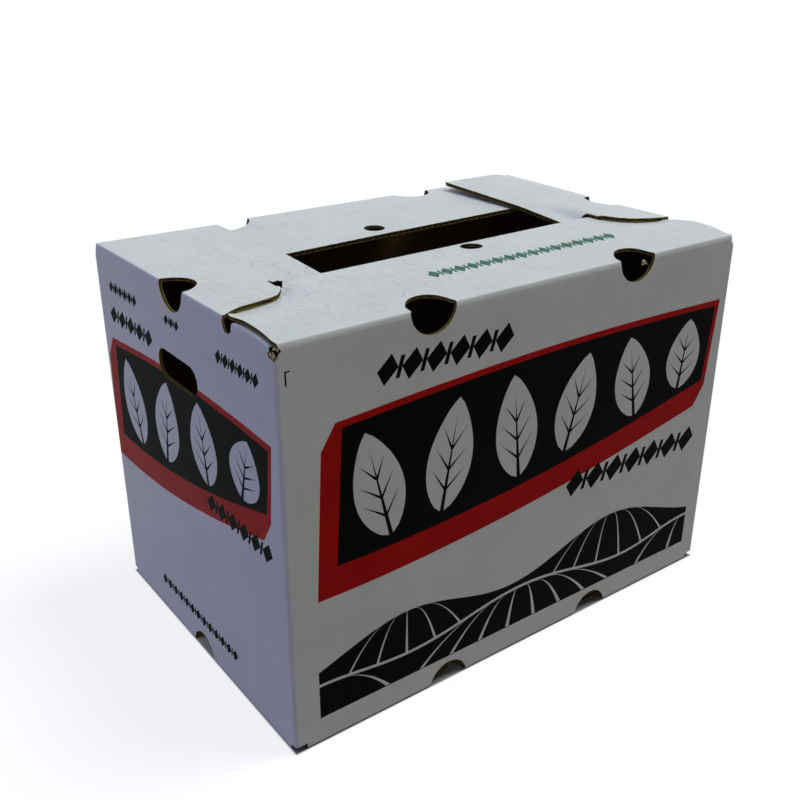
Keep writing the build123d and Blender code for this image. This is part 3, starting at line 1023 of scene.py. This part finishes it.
def shredTree():
    # A shred at each point, turned and sized at random
    tree, add, given = newTree(
        "shreds", Shred="Object", Smallest="Float", Largest="Float", Seed="Int", Paper="Material")
    shape = add("GeometryNodeObjectInfo", {"Object": given["Shred"]})
    points = add("GeometryNodeMeshToPoints", {"Mesh": given["Geometry"]})
    turn = add("FunctionNodeRandomValue", {
        0: [-torn["turn"]] * 3, 1: [torn["turn"]] * 3, "Seed": given["Seed"]}, data_type="FLOAT_VECTOR")
    size = add("FunctionNodeRandomValue", {
        2: given["Smallest"], 3: given["Largest"], "Seed": given["Seed"]}, data_type="FLOAT")
    placed = add("GeometryNodeInstanceOnPoints", {
        "Points": points, "Instance": shape.outputs["Geometry"], "Rotation": turn, "Scale": size.outputs[1]})
    real = add("GeometryNodeRealizeInstances", {"Geometry": placed})
    done = add("GeometryNodeSetMaterial", {"Geometry": real, "Material": given["Paper"]})
    add("NodeGroupOutput", {"Geometry": done})
    return tree


def shredPoints():
    draw = random.Random(torn["seed"])
    points = []
    for middle, spread, count in torn["places"]:
        for i in range(count):
            points.append(Vector([m + draw.uniform(-s, s) for m, s in zip(middle, spread)]) * mm)
    return newMesh("shred_points", points, [])


# Torn liner: its cream colour painted lighter, as painted light on shreds that lie in the key light's shade
tornPaperPaintedLight = kraftMaterial("torn liner, lightened as painted light", "#fbeec0", "#cdb676", 0.9)
shred = shredObject()
tornPiece = applyNodes("torn_paper", shredPoints(), shredTree(), {
    "Shred": shred, "Smallest": torn["size"][0], "Largest": torn["size"][1],
    "Seed": torn["seed"], "Paper": tornPaperPaintedLight})
bpy.data.objects.remove(shred)
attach(tornPiece, "root")
print("torn paper built:", len(tornPiece.data.polygons), "faces")

# Studio: a plain pale floor that the camera sees near white, and soft light
studio = {
    "key": ((0.40, -0.16, 0.90), 1.68, "#fbfff2", 24),  # where it comes from, strength, colour, angle
    "sky": ((-0.28, 0.10, 1.0), 0.88, "#c4d6ff", 60),
    "left fill": ((-0.93, -0.34, 0.12), 0.60, "#8870ff", 40),
    "front fill": ((-0.50, -0.86, 0.12), 0.27, "#fffa78", 40),
    "world": 0.06,
    "bounce": "#5e5d55", "pale": "#9c9c9c", "glow": 0.78,
}


def addSun(name, source, strength, colour, angle):
    lamp = bpy.data.lights.new(name, "SUN")
    lamp.energy = strength
    lamp.angle = math.radians(angle)
    lamp.color = srgb(colour)[:3]
    sun = addObject(name, lamp)
    sun.rotation_mode = "QUATERNION"
    sun.rotation_quaternion = Vector(source).to_track_quat("Z", "Y")


def seenDirectly(tree):
    # 1 for what the camera and mirror-like reflections see, 0 for soft light
    path = addNode(tree, "ShaderNodeLightPath").outputs
    seen = path["Is Camera Ray"]
    for kind in ("Is Glossy Ray", "Is Transmission Ray"):
        seen = addNode(tree, "ShaderNodeMath", {0: seen, 1: path[kind]}, operation="MAXIMUM")
    return seen


def addFloor():
    # Painted studio floor, matt: pale to the eye, and it throws little light back up
    material = bpy.data.materials.new("matt studio floor")
    material.use_nodes = True
    tree = material.node_tree
    tree.nodes.clear()
    add = partial(addNode, tree)
    dim = add("ShaderNodeBsdfDiffuse", {"Color": srgb(studio["bounce"])})
    pale = add("ShaderNodeBsdfDiffuse", {"Color": srgb(studio["pale"])})
    # The glow stops at the carton's footprint: painted shade under the carton, seen through its holes and
    # below its folds
    place = add("ShaderNodeTexCoord").outputs["Object"]
    outwards = add("ShaderNodeVectorMath", {0: place}, operation="ABSOLUTE")
    corner = (length / 2 * mm, width / 2 * mm, 0)
    over = add("ShaderNodeVectorMath", {0: outwards, 1: corner}, operation="SUBTRACT")
    sides = add("ShaderNodeSeparateXYZ", {0: over}).outputs
    most = add("ShaderNodeMath", {0: sides[0], 1: sides[1]}, operation="MAXIMUM")
    glowWithPaintedShadeUnder = add("ShaderNodeMapRange", {
        "Value": most, "From Min": -mm, "From Max": mm, "To Max": studio["glow"]})
    glow = add("ShaderNodeEmission", {"Color": srgb("#ffffff"), "Strength": glowWithPaintedShadeUnder})
    both = add("ShaderNodeAddShader", {0: pale, 1: glow})
    choose = add("ShaderNodeMixShader", {0: seenDirectly(tree), 1: dim, 2: both})
    add("ShaderNodeOutputMaterial", {"Surface": choose})
    bpy.ops.mesh.primitive_plane_add(size=60)
    floor = bpy.context.object
    floor.name = "studio_floor"
    floor.data.materials.append(material)


def addWorld():
    world = bpy.data.worlds.new("studio")
    bpy.context.scene.world = world
    world.use_nodes = True
    tree = world.node_tree
    strength = addNode(tree, "ShaderNodeMapRange", {
        "Value": seenDirectly(tree), "To Min": studio["world"], "To Max": 1.0})
    setInputs(tree, tree.nodes["Background"], {"Color": (1, 1, 1, 1), "Strength": strength})


for name in ("key", "sky", "left fill", "front fill"):
    addSun(name, *studio[name])
addFloor()
addWorld()
bpy.context.scene.view_settings.view_transform = "Standard"
print("studio set")
